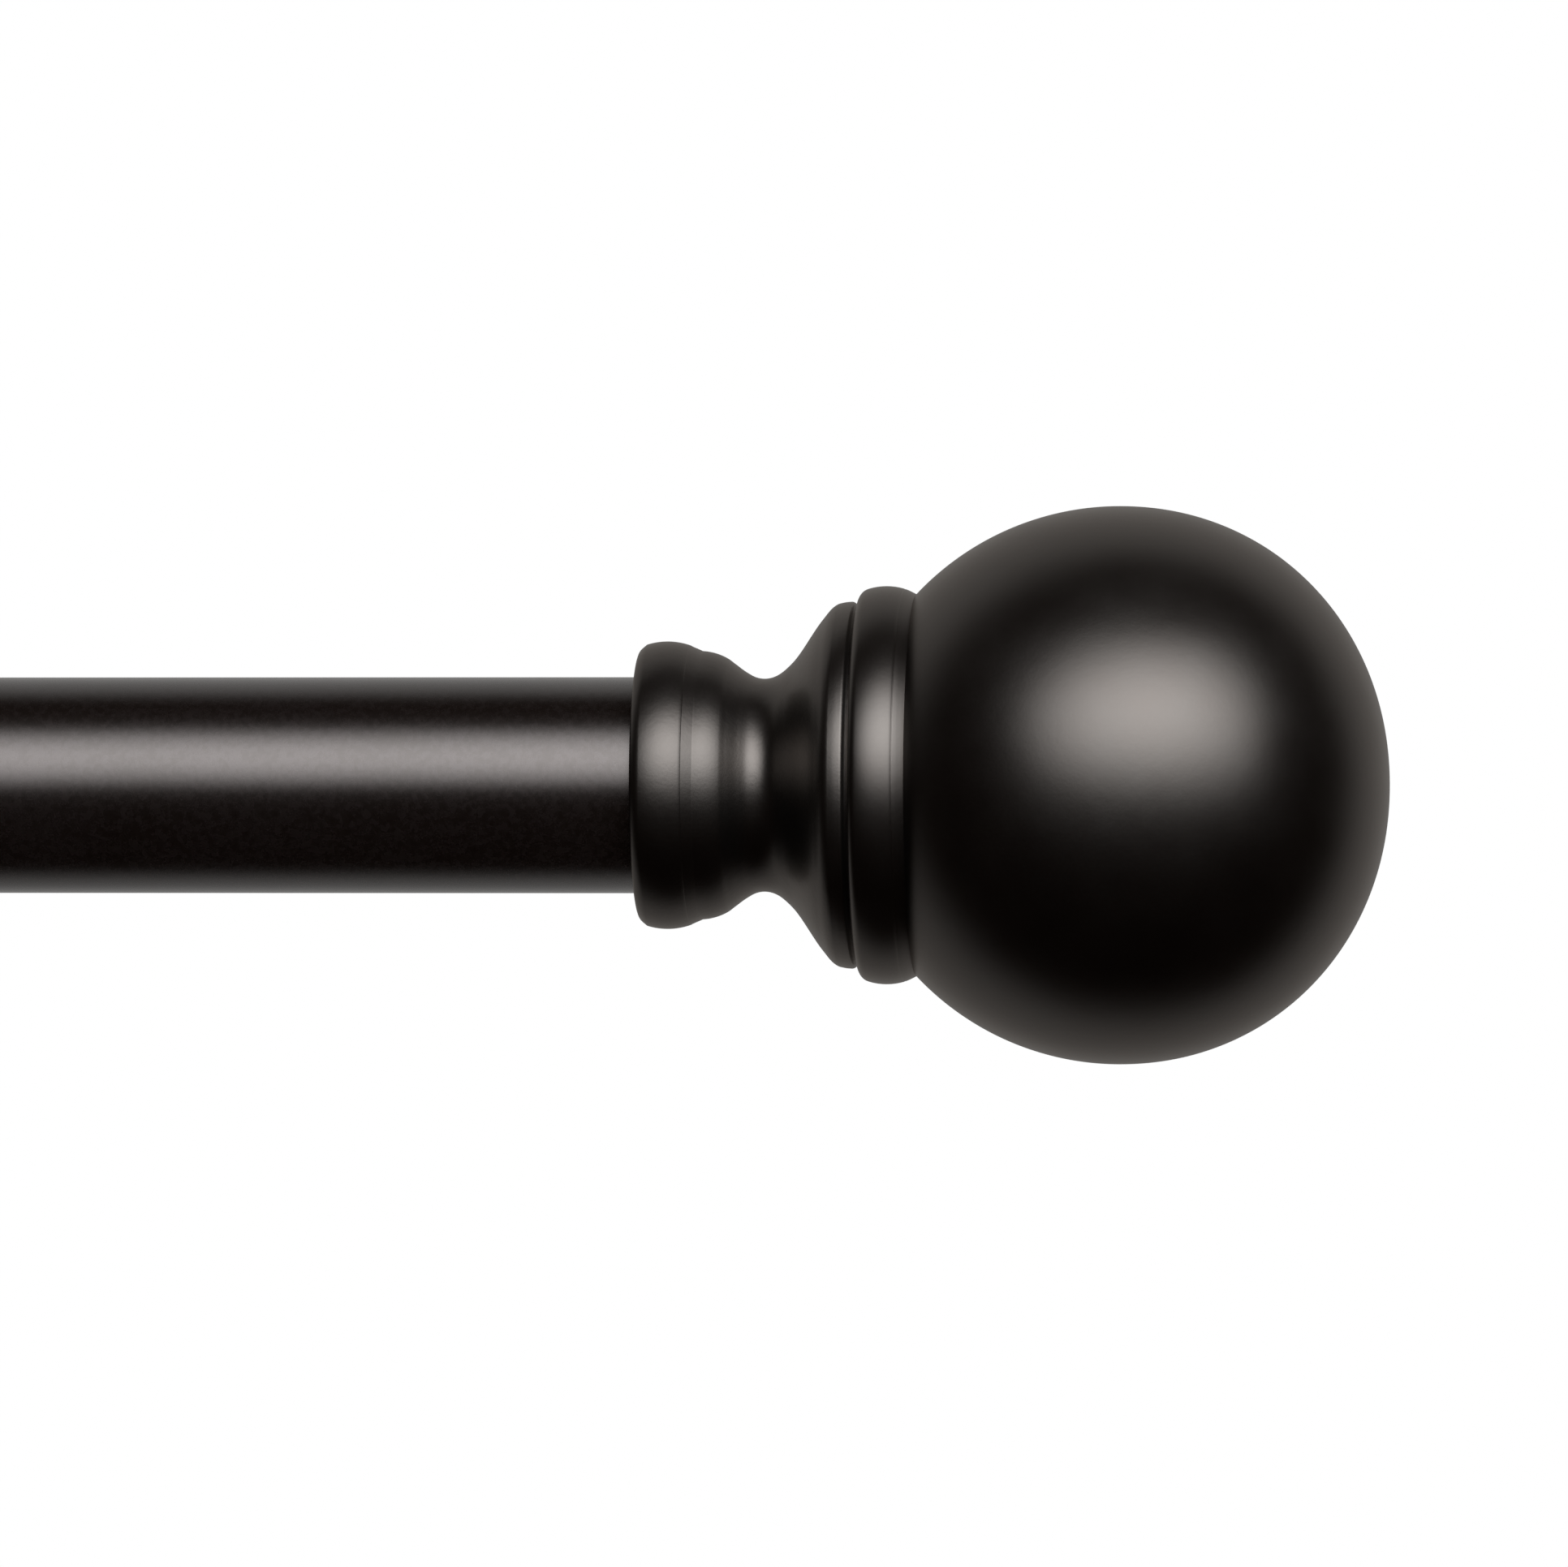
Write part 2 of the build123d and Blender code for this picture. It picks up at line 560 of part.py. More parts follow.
    with BuildPart() as thumb_screw_pad:
        with BuildSketch(wall_parallel(x_centre, cup_front)):
            Circle(THUMB_SCREW_RADIUS)
        extrude(amount=PAD_THICKNESS)
    save(thumb_screw_pad.part, f"thumb_screw_pad_{side}")

    shank_start = cup_front + PAD_THICKNESS
    head_start = FRONT_BOSS_END + THUMB_HEAD_GAP
    with BuildPart() as thumb_screw:
        with BuildSketch(wall_parallel(x_centre, shank_start)):
            Circle(THUMB_SCREW_RADIUS)
        extrude(amount=head_start - shank_start)
        with BuildSketch(wall_parallel(x_centre, head_start)):
            Circle(THUMB_HEAD_RADIUS)
        extrude(amount=THUMB_HEAD_LENGTH)
        head_rims = thumb_screw.edges().filter_by(GeomType.CIRCLE).sort_by(SortBy.RADIUS)[-2:]
        fillet(head_rims, radius=THUMB_HEAD_ROUND)
        with BuildSketch(wall_parallel(x_centre, head_start)):
            with PolarLocations(THUMB_HEAD_RADIUS + KNURL_RADIUS - KNURL_DEPTH, KNURL_COUNT):
                Circle(KNURL_RADIUS)
        extrude(amount=THUMB_HEAD_LENGTH, mode=Mode.SUBTRACT)
        with BuildSketch(wall_parallel(x_centre, head_start + THUMB_HEAD_LENGTH)):
            Circle(THUMB_RING_OUTER)
            Circle(THUMB_RING_INNER, mode=Mode.SUBTRACT)
        extrude(amount=-THUMB_RING_DEPTH, mode=Mode.SUBTRACT)
    save(thumb_screw.part, f"thumb_screw_{side}")

# ---- wall screws -------------------------------------------------------------------------------
with BuildPart() as wall_screws:
    for side, sign in SIDES:
        x_centre = sign * BRACKET_X
        for z_screw in (WALL_SCREW_SPACING / 2, -WALL_SCREW_SPACING / 2):
            screw_plane = Plane(origin=(x_centre, 0, z_screw), x_dir=(0, -1, 0), z_dir=(-1, 0, 0))
            with BuildSketch(screw_plane):
                with BuildLine():
                    under_head = Polyline(
                        (-WALL_SCREW_LENGTH, 0),
                        (-WALL_SCREW_LENGTH + WALL_SCREW_POINT, WALL_SCREW_RADIUS),
                        (0, WALL_SCREW_RADIUS),
                        (0, WALL_SCREW_NECK_RADIUS),
                        (PLATE_THICKNESS, WALL_SCREW_NECK_RADIUS),
                        (PLATE_THICKNESS, WALL_SCREW_HEAD_RADIUS),
                    )
                    crown = ThreePointArc(
                        under_head @ 1,
                        (PLATE_THICKNESS + 1.7, WALL_SCREW_HEAD_RADIUS - 1.2),
                        (PLATE_THICKNESS + WALL_SCREW_HEAD_HEIGHT, 0),
                    )
                    Line(crown @ 1, under_head @ 0)
                make_face()
            revolve(axis=spin_axis(screw_plane))
            recess_floor = PLATE_THICKNESS + WALL_SCREW_HEAD_HEIGHT - CROSS_SLOT_DEPTH
            cross_plane = Plane(
                origin=(x_centre, -recess_floor, z_screw),
                x_dir=(1, 0, 0),
                z_dir=(0, -1, 0),
            )
            with BuildSketch(cross_plane):
                Rectangle(CROSS_SLOT_LENGTH, CROSS_SLOT_WIDTH)
                Rectangle(CROSS_SLOT_WIDTH, CROSS_SLOT_LENGTH)
            extrude(amount=CROSS_SLOT_DEPTH + CUT_MARGIN, mode=Mode.SUBTRACT)
save(wall_screws.part, "wall_screws")
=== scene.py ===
"""Curtain rod with ball finials on two cradle brackets: its looks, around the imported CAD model.

Metres, in the CAD frame: +X along the rod, the wall is y = 0 with the room on its -Y side, +Z up.
Outlines of turned pieces are in millimetres, as (distance along the axis, radius).
"""

import json
import math

import bmesh
import bpy
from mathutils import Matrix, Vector


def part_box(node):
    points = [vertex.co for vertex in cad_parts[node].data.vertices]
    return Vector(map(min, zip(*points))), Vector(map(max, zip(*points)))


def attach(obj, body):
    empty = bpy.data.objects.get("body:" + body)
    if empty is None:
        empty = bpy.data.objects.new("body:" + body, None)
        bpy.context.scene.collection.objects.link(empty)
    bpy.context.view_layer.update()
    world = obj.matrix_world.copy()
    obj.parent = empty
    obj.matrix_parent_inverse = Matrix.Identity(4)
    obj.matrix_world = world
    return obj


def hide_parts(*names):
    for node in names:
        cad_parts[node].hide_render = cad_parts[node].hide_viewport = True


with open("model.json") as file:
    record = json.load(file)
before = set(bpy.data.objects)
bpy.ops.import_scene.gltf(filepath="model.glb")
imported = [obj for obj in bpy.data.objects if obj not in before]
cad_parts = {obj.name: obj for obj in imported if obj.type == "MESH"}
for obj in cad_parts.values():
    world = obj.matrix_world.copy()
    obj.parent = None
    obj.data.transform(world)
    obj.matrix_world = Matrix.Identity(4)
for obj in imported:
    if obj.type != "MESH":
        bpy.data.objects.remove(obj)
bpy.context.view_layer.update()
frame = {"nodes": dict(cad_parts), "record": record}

MM = 0.001
SIDES = (("left", -1), ("right", 1))

# ---- places, read from the CAD frame -------------------------------------------------------------
TUBE_LOW, TUBE_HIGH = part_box("outer_tube")
ROD_CENTRE = (TUBE_LOW + TUBE_HIGH) / 2
ROD_Y = ROD_CENTRE.y
ROD_RADIUS = (TUBE_HIGH.z - TUBE_LOW.z) / 2 / MM
INNER_LOW, INNER_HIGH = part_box("inner_tube")
INNER_RADIUS = (INNER_HIGH.z - INNER_LOW.z) / 2 / MM
TUBE_WALL = 0.8
TUBE_EDGE = 0.2  # chamfer outside at the cut ends
BORE_EDGE = 0.1  # and inside
LOOSE = 0.3  # gap between faces that only come near each other
RUNNING = 0.08  # radial clearance of sliding fits
DRILL_LENGTH = 20.0
ALONG_ROD = (1, 0, 0)
INTO_ROOM = (0, -1, 0)
NECK_LOW, NECK_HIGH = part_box("finial_neck_right")
FINIAL_MOUTH = NECK_LOW.x
NECK_LENGTH = (NECK_HIGH.x - NECK_LOW.x) / MM
BALL_LOW, BALL_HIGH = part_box("finial_ball_right")
BALL_RADIUS = (BALL_HIGH.z - BALL_LOW.z) / 2 / MM
BALL_TIP = (BALL_HIGH.x - FINIAL_MOUTH) / MM

# ---- camera and surroundings ---------------------------------------------------------------------
CAMERA_AZIMUTH = math.radians(4.6)
CAMERA_DISTANCE = 2.0
VIEW_WIDTH = 0.18365
TARGET_FROM_MOUTH = 0.0169
TARGET_HEIGHT = 0.0002
SENSOR = 36.0
FLOOR_HEIGHT = -0.5
FLOOR_HALF = 3.0
ROOM_AZIMUTH = math.radians(11.6)
ROOM_DARK = (0.010, 0.0035, 0.001)
ROOM_PALE = (0.340, 0.334, 0.328)
ROOM_DARK_TO = -0.117  # cosine of the angle from the camera's side where the dark part ends
ROOM_PALE_FROM = -0.576
ROOM_BELOW = 0.79
ROOM_ABOVE = 1.21
SOFTBOX_AZIMUTH = 16.8
SOFTBOX_ELEVATION = 31.0
SOFTBOX_DISTANCE = 3.0
SOFTBOX_AIM = 0.05  # outward from the finial's mouth
SOFTBOX_SIZE = (8.8, 4.74)
SOFTBOX_RADIANCE = 4.75

# ---- mesh tools ----------------------------------------------------------------------------------
FINE = 256  # segments around the pieces that the eye goes to
ROUND = 192
KNURLED = 160
PLAIN = 128
THREADED = 64
DRILLED = 48


def shade(mesh, smooth_below=35.0):
    """Smooth shading, with sharp edges where faces meet at more than the angle."""
    build = bmesh.new()
    build.from_mesh(mesh)
    bmesh.ops.recalc_face_normals(build, faces=build.faces)
    limit = math.radians(smooth_below)
    for face in build.faces:
        face.smooth = True
    for edge in build.edges:
        if len(edge.link_faces) == 2:
            edge.smooth = edge.calc_face_angle(0.0) <= limit
    build.to_mesh(mesh)
    build.free()


def new_object(name, vertices, faces, material):
    mesh = bpy.data.meshes.new(name)
    mesh.from_pydata([tuple(v) for v in vertices], [], faces)
    mesh.validate()
    shade(mesh)
    piece = bpy.data.objects.new(name, mesh)
    bpy.context.scene.collection.objects.link(piece)
    mesh.materials.append(material)
    return piece


def axis_frame(direction):
    """Two unit vectors square to the direction."""
    along = Vector(direction).normalized()
    guide = Vector((0, 0, 1)) if abs(along.z) < 0.9 else Vector((1, 0, 0))
    across = guide.cross(along).normalized()
    return across, along.cross(across)


def turned(name, outline, origin, direction, material, segments=ROUND, relief=None, closed=True):
    """A lathe piece: the outline, as (distance, radius) in mm, spun about an axis.

    relief(distance, radius, angle) gives a radius in its place, for knurls and threads.
    """
    along = Vector(direction).normalized()
    side_u, side_v = axis_frame(direction)
    start = Vector(origin)
    vertices = []
    rings = []
    for distance, radius in outline:
        if radius < 1e-6:
            rings.append([len(vertices)])
            vertices.append(start + along * distance * MM)
            continue
        ring = []
        for step in range(segments):
            angle = 2 * math.pi * step / segments
            reach = relief(distance, radius, angle) if relief else radius
            ring.append(len(vertices))
            spoke = side_u * math.cos(angle) + side_v * math.sin(angle)
            vertices.append(start + along * distance * MM + spoke * reach * MM)
        rings.append(ring)
    pairs = list(zip(rings, rings[1:]))
    if closed and len(rings[0]) > 1 and len(rings[-1]) > 1:
        pairs.append((rings[-1], rings[0]))
    faces = []
    for first, second in pairs:
        if len(first) == 1 and len(second) == 1:
            continue
        for step in range(segments):
            after = (step + 1) % segments
            if len(first) == 1:
                faces.append((first[0], second[step], second[after]))
            elif len(second) == 1:
                faces.append((first[step], second[0], first[after]))
            else:
                faces.append((first[step], second[step], second[after], first[after]))
    return new_object(name, vertices, faces, material)


def cut(piece, cutters):
    """Takes the cutters' shapes out of the piece, and removes the cutters."""
    for cutter in cutters:
        tool = piece.modifiers.new("cut", "BOOLEAN")
        tool.operation = "DIFFERENCE"
        tool.solver = "EXACT"
        tool.object = cutter
    scene_now = bpy.context.evaluated_depsgraph_get()
    mesh = bpy.data.meshes.new_from_object(piece.evaluated_get(scene_now))
    piece.modifiers.clear()
    piece.data = mesh
    shade(mesh)
    for cutter in cutters:
        bpy.data.objects.remove(cutter)


def drill(name, radius, origin, direction, material):
    """A cylinder for cutting a round hole."""
    outline = [(0.0, 0.0), (0.0, radius), (DRILL_LENGTH, radius), (DRILL_LENGTH, 0.0)]
    return turned(name, outline, origin, direction, material, DRILLED)


def thread(pitch, depth, start, end):
    """A relief for turned(): a right-hand thread cut into the radius between two distances."""

    def relief(distance, radius, angle):
        if not start < distance < end:
            return radius
        turn = (distance / pitch - angle / (2 * math.pi)) % 1.0
        return radius - depth * abs(2 * turn - 1)

    return relief


def thread_rows(start, end, radius, pitch, rows_per_turn):
    """Outline points close enough together to carry a thread."""
    count = round((end - start) / pitch * rows_per_turn)
    return [(start + (end - start) * i / count, radius) for i in range(count + 1)]


def arc(start, middle, end, steps=10):
    """Points of the circle arc through three points, both ends included."""
    (ax, ay), (bx, by), (cx, cy) = start, middle, end
    d = 2 * (ax * (by - cy) + bx * (cy - ay) + cx * (ay - by))
    a2, b2, c2 = ax * ax + ay * ay, bx * bx + by * by, cx * cx + cy * cy
    ux = (a2 * (by - cy) + b2 * (cy - ay) + c2 * (ay - by)) / d
    uy = (a2 * (cx - bx) + b2 * (ax - cx) + c2 * (bx - ax)) / d
    radius = math.hypot(ax - ux, ay - uy)
    first = math.atan2(ay - uy, ax - ux)
    turn_mid = (math.atan2(by - uy, bx - ux) - first) % (2 * math.pi)
    turn_end = (math.atan2(cy - uy, cx - ux) - first) % (2 * math.pi)
    if turn_mid > turn_end:
        turn_end -= 2 * math.pi
    points = []
    for step in range(steps + 1):
        angle = first + turn_end * step / steps
        points.append((ux + radius * math.cos(angle), uy + radius * math.sin(angle)))
    return points


def flowing(points, start_slope, end_slope, steps=10):
    """Points of a smooth curve through the given ones, with a set slope at each end."""
    slopes = [start_slope]
    for (x0, y0), (x1, y1), (x2, y2) in zip(points, points[1:], points[2:]):
        before = (y1 - y0) / (x1 - x0)
        after = (y2 - y1) / (x2 - x1)
        slopes.append((before * (x2 - x1) + after * (x1 - x0)) / (x2 - x0))
    slopes.append(end_slope)
    result = [points[0]]
    for i in range(len(points) - 1):
        (x0, y0), (x1, y1) = points[i], points[i + 1]
        span = x1 - x0
        for step in range(1, steps + 1):
            t = step / steps
            h00 = 2 * t**3 - 3 * t**2 + 1
            h10 = t**3 - 2 * t**2 + t
            h01 = -2 * t**3 + 3 * t**2
            h11 = t**3 - t**2
            y = h00 * y0 + h10 * span * slopes[i] + h01 * y1 + h11 * span * slopes[i + 1]
            result.append((x0 + span * t, y))
    return result


def eased(corners, steps=4):
    """Rounds a polyline's corners, each (distance, radius) or (distance, radius, rounding)."""
    result = []
    count = len(corners)
    for i, corner in enumerate(corners):
        point = Vector(corner[:2])
        rounding = corner[2] if len(corner) > 2 else 0.0
        if rounding <= 0 or i in (0, count - 1):
            result.append(tuple(point))
            continue
        before = (Vector(corners[i - 1][:2]) - point).normalized()
        after = (Vector(corners[i + 1][:2]) - point).normalized()
        first = point + before * rounding
        last = point + after * rounding
        for step in range(steps + 1):
            t = step / steps
            spot = first * (1 - t) ** 2 + point * 2 * t * (1 - t) + last * t**2
            result.append(tuple(spot))
    return result


# ---- materials -----------------------------------------------------------------------------------


def new_material(name):
    material = bpy.data.materials.new(name)
    material.use_nodes = True
    nodes = material.node_tree.nodes
    nodes.clear()
    output = nodes.new("ShaderNodeOutputMaterial")
    shader = nodes.new("ShaderNodeBsdfPrincipled")
    material.node_tree.links.new(shader.outputs["BSDF"], output.inputs["Surface"])
    coordinates = nodes.new("ShaderNodeTexCoord")
    return material, shader, coordinates.outputs["Object"]


def noise(material, place, size_mm, detail=2.0, roughness=0.5):
    """Noise whose cells are about size_mm across, as a value from 0 to 1."""
    nodes, links = material.node_tree.nodes, material.node_tree.links
    mapping = nodes.new("ShaderNodeMapping")
    mapping.inputs["Scale"].default_value = [1 / (size_mm * MM)] * 3
    texture = nodes.new("ShaderNodeTexNoise")
    texture.inputs["Scale"].default_value = 1.0
    texture.inputs["Detail"].default_value = detail
    texture.inputs["Roughness"].default_value = roughness
    links.new(place, mapping.inputs["Vector"])
    links.new(mapping.outputs["Vector"], texture.inputs["Vector"])
    return texture.outputs["Fac"]


def spread(material, value, low, high, to_low, to_high):
    """The value's stretch from low to high, carried over to another stretch."""
    nodes, links = material.node_tree.nodes, material.node_tree.links
    ranger = nodes.new("ShaderNodeMapRange")
    ranger.inputs["From Min"].default_value = low
    ranger.inputs["From Max"].default_value = high
    ranger.inputs["To Min"].default_value = to_low
    ranger.inputs["To Max"].default_value = to_high
    links.new(value, ranger.inputs["Value"])
    return ranger.outputs["Result"]


def blended(material, value, dark, light):
    """A colour between two, by a value."""
    nodes, links = material.node_tree.nodes, material.node_tree.links
    ramp = nodes.new("ShaderNodeValToRGB")
    ramp.color_ramp.elements[0].position = 0.3
    ramp.color_ramp.elements[0].color = (*dark, 1)
    ramp.color_ramp.elements[1].position = 0.7
    ramp.color_ramp.elements[1].color = (*light, 1)
    links.new(value, ramp.inputs["Fac"])
    return ramp.outputs["Color"]


def sum_of(material, first, second, share):
    """first + second * share"""
    nodes, links = material.node_tree.nodes, material.node_tree.links
    add = nodes.new("ShaderNodeMath")
    add.operation = "MULTIPLY_ADD"
    links.new(second, add.inputs[0])
    add.inputs[1].default_value = share
    links.new(first, add.inputs[2])
    return add.outputs[0]


def relief_bump(material, shader, height, depth_mm, strength):
    """Fine relief in the finish, of a depth in mm."""
    nodes, links = material.node_tree.nodes, material.node_tree.links
    bump = nodes.new("ShaderNodeBump")
    bump.inputs["Strength"].default_value = strength
    bump.inputs["Distance"].default_value = depth_mm * MM
    links.new(height, bump.inputs["Height"])
    links.new(bump.outputs["Normal"], shader.inputs["Normal"])


def satin_bronze(name, roughness, grain_depth):
    """Finials and brackets: near-black bronze finish, satin, with fine orange peel and grain."""
    material, shader, place = new_material(name)
    links = material.node_tree.links
    cloud = noise(material, place, 9.0, 3.0)
    grain = noise(material, place, 0.35, 2.0)
    peel = noise(material, place, 1.3, 2.0)
    colour = blended(material, cloud, (0.097, 0.089, 0.084), (0.105, 0.098, 0.093))
    links.new(colour, shader.inputs["Base Color"])
    wear = sum_of(material, cloud, grain, 0.5)
    worn = spread(material, wear, 0.4, 1.1, roughness - 0.025, roughness + 0.025)
    links.new(worn, shader.inputs["Roughness"])
    relief_bump(material, shader, sum_of(material, peel, grain, 0.5), grain_depth, 0.6)
    shader.inputs["Metallic"].default_value = 1.0
    shader.inputs["Specular Tint"].default_value = (1.0, 0.96, 0.92, 1.0)
    return material


def espresso_rod():
    """The rod: a warmer brown than the finials, finely mottled and grainy."""
    material, shader, place = new_material("espresso_rod")
    links = material.node_tree.links
    mottle = noise(material, place, 0.9, 4.0, 0.65)
    grain = noise(material, place, 0.22, 2.0)
    cloud = noise(material, place, 14.0, 3.0)
    tone = spread(material, sum_of(material, mottle, cloud, 0.4), 0.45, 0.95, 0.0, 1.0)
    colour = blended(material, tone, (0.018, 0.011, 0.009), (0.028, 0.020, 0.019))
    links.new(colour, shader.inputs["Base Color"])
    links.new(spread(material, mottle, 0.3, 0.7, 0.23, 0.31), shader.inputs["Roughness"])
    relief_bump(material, shader, sum_of(material, mottle, grain, 0.6), 0.014, 0.7)
    shader.inputs["Metallic"].default_value = 0.82
    shader.inputs["Coat Weight"].default_value = 0.85
    shader.inputs["Coat Roughness"].default_value = 0.24
    shader.inputs["Coat IOR"].default_value = 1.7
    return material


def turned_metal(name, colour, roughness):
    """Bare metal with fine turning marks and small stains."""
    material, shader, place = new_material(name)
    links = material.node_tree.links
    stain = noise(material, place, 3.0, 4.0)
    marks = noise(material, place, 0.12, 2.0)
    darker = [c * 0.78 for c in colour]
    links.new(blended(material, stain, darker, colour), shader.inputs["Base Color"])
    stained = spread(material, stain, 0.3, 0.7, roughness - 0.05, roughness + 0.08)
    links.new(stained, shader.inputs["Roughness"])
    relief_bump(material, shader, marks, 0.004, 0.5)
    shader.inputs["Metallic"].default_value = 1.0
    return material


def moulded_plastic(name, colour, roughness):
    """Moulded plastic with a fine spark-eroded texture."""
    material, shader, place = new_material(name)
    links = material.node_tree.links
    cloud = noise(material, place, 4.0, 2.0)
    texture = noise(material, place, 0.25, 2.0)
    darker = [c * 0.86 for c in colour]
    links.new(blended(material, cloud, darker, colour), shader.inputs["Base Color"])
    uneven = spread(material, texture, 0.3, 0.7, roughness - 0.06, roughness + 0.06)
    links.new(uneven, shader.inputs["Roughness"])
    relief_bump(material, shader, texture, 0.01, 0.5)
    return material


BRONZE = satin_bronze("satin_bronze", 0.31, 0.010)
CAST_BRONZE = satin_bronze("cast_bronze", 0.325, 0.022)
ROD = espresso_rod()
STEEL = turned_metal("zinc_steel", (0.56, 0.56, 0.54), 0.32)
BLACK_STEEL = turned_metal("black_oxide_steel", (0.055, 0.055, 0.06), 0.38)
BRASS = turned_metal("brass", (0.60, 0.42, 0.16), 0.28)
DARK_PLASTIC = moulded_plastic("dark_plastic", (0.012, 0.009, 0.007), 0.45)
NYLON = moulded_plastic("natural_nylon", (0.72, 0.70, 0.63), 0.45)

SLOT_MATERIALS = {
    "rod_finish": ROD,
    "finial_metal": BRONZE,
    "finial_resin": BRONZE,
    "bracket_finish": BRONZE,
    "screw_steel": STEEL,
    "black_screw_steel": BLACK_STEEL,
    "insert_brass": BRASS,
    "dark_plastic": DARK_PLASTIC,
    "natural_nylon": NYLON,
}
node_slots = {s["node"]: s["material_slot"] for s in frame["record"]["subparts"]}
for node, piece in frame["nodes"].items():
    piece.data.materials.clear()
    piece.data.materials.append(SLOT_MATERIALS[node_slots[node]])


def stand_for(piece, node, body):
    """The piece replaces a CAD node, which it hides, and rides on its body."""
    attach(piece, body)
    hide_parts(node)
    return piece


# ---- finials -------------------------------------------------------------------------------------
SOCKET_DEPTH = 10.0
SOCKET_RADIUS = ROD_RADIUS + LOOSE
SCREW_HOLE = 2.6
BALL_CENTRE = 56.3
BALL_FULLNESS = 2.06
RING_END = 32.5
SET_SCREW_HOLE = 2.08
SET_SCREW_FROM_MOUTH = 3.1
INSERT_RADIUS = 4.0
INSERT_DEPTH = 15.0


def neck_outline():
    """The neck: bore, then from its mouth the rim, bead, groove, shoulder, waist, cone and lip."""
    rim = eased([(0.0, SOCKET_RADIUS + 0.4), (0.0, 15.75, 0.5), (0.9, 16.5)])
    bead = arc((0.9, 16.5), (3.1, 16.85), (6.0, 16.36), 16)
    groove = [(6.0, 16.36), (6.06, 16.3, 0.03)]
    bevel = eased([*groove, (7.15, 15.83), (7.35, 15.73, 0.08), (7.6, 15.71)])
    shoulder = arc((7.6, 15.71), (9.1, 15.4), (10.3, 14.86), 10)
    waist = flowing(
        [
            (10.3, 14.86),
            (11.1, 14.27),
            (12.5, 13.25),
            (13.6, 12.66),
            (14.6, 12.48),
            (16.2, 12.88),
            (17.9, 14.26),
            (21.7, 19.56),
            (22.8, 20.84),
            (23.6, 21.3),
        ],
        -0.60,
        0.25,
    )
    top = [(23.6, 21.3), (24.3, 21.45, 0.3), (25.1, 21.5, 0.2)]
    lip = eased([*top, (25.5, 21.2, 0.15), (NECK_LENGTH, 21.1)])
    inside = [
        (NECK_LENGTH, SCREW_HOLE),
        (SOCKET_DEPTH, SCREW_HOLE),
        (SOCKET_DEPTH, SOCKET_RADIUS),
        (0.4, SOCKET_RADIUS),
    ]
    return inside + rim + bead[1:] + bevel[1:] + shoulder[1:] + waist[1:] + lip[1:]


def ball_outline():
    """The ball: insert's hole, ring, bead, round back half and slightly fuller front half."""
    root_radius = math.sqrt(BALL_RADIUS**2 - (BALL_CENTRE - RING_END) ** 2)
    hole_end = NECK_LENGTH + INSERT_DEPTH
    hole = [(hole_end, 0.0), (hole_end, INSERT_RADIUS), (NECK_LENGTH, INSERT_RADIUS)]
    ring_edge = arc((NECK_LENGTH, 21.7), (26.15, 22.5), (26.9, 23.0), 8)
    ring_top = arc((26.9, 23.0), (28.9, 23.31), (31.0, 23.02), 14)
    fine_step = [(31.0, 23.02), (31.1, 22.94, 0.04), (31.2, 22.96, 0.04)]
    bead = eased([*fine_step, (31.6, 22.8, 0.2), (32.2, 22.5, 0.2), (RING_END, root_radius)])
    start = math.atan2(root_radius, RING_END - BALL_CENTRE)
    back = []
    for i in range(1, 41):
        angle = start + (math.pi / 2 - start) * i / 40
        back.append((BALL_CENTRE + BALL_RADIUS * math.cos(angle), BALL_RADIUS * math.sin(angle)))
    front = []
    for i in range(1, 65):
        angle = math.pi / 2 * (1 - i / 64)
        run = max(math.cos(angle), 0.0) ** (2 / BALL_FULLNESS)
        rise = max(math.sin(angle), 0.0) ** (2 / BALL_FULLNESS)
        front.append((BALL_CENTRE + (BALL_TIP - BALL_CENTRE) * run, BALL_RADIUS * rise))
    front[-1] = (BALL_TIP, 0.0)
    return hole + ring_edge + ring_top[1:] + bead[1:] + back + front


for side, sign in SIDES:
    mouth = (sign * FINIAL_MOUTH, ROD_Y, 0)
    outward = (sign, 0, 0)
    neck = turned(f"neck_{side}", neck_outline(), mouth, outward, CAST_BRONZE, FINE)
    hole_place = (sign * (FINIAL_MOUTH + SET_SCREW_FROM_MOUTH * MM), ROD_Y, 0)
    cut(neck, [drill("set_screw_hole", SET_SCREW_HOLE, hole_place, (0, 1, 0), CAST_BRONZE)])
    stand_for(neck, f"finial_neck_{side}", f"finial_{side}")
    ball = turned(f"ball_{side}", ball_outline(), mouth, outward, BRONZE, FINE, closed=False)
    stand_for(ball, f"finial_ball_{side}", f"finial_{side}")

# ---- rod -----------------------------------------------------------------------------------------


def tube_outline(length, radius):
    bore = radius - TUBE_WALL
    return eased(
        [
            (length / 2, bore),
            (0.0, bore, BORE_EDGE),
            (0.0, radius, TUBE_EDGE),
            (length, radius, TUBE_EDGE),
            (length, bore, BORE_EDGE),
            (length / 2, bore),
        ]
    )[:-1]


outer = turned(
    "outer_rod_tube",
    tube_outline((TUBE_HIGH.x - TUBE_LOW.x) / MM, ROD_RADIUS),
    (TUBE_LOW.x, ROD_Y, 0),
    ALONG_ROD,
    ROD,
)
stand_for(outer, "outer_tube", "outer_rod")
inner = turned(
    "inner_rod_tube",
    tube_outline((INNER_HIGH.x - INNER_LOW.x) / MM, INNER_RADIUS),
    (INNER_LOW.x, ROD_Y, 0),
    ALONG_ROD,
    ROD,
)
stand_for(inner, "inner_tube", "inner_rod")
LINER_LOW, LINER_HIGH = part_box("outer_tube_liner")
LINER_LENGTH = (LINER_HIGH.x - LINER_LOW.x) / MM
LINER_LIP = (TUBE_LOW.x - LINER_LOW.x) / MM
LINER_BORE = INNER_RADIUS + RUNNING
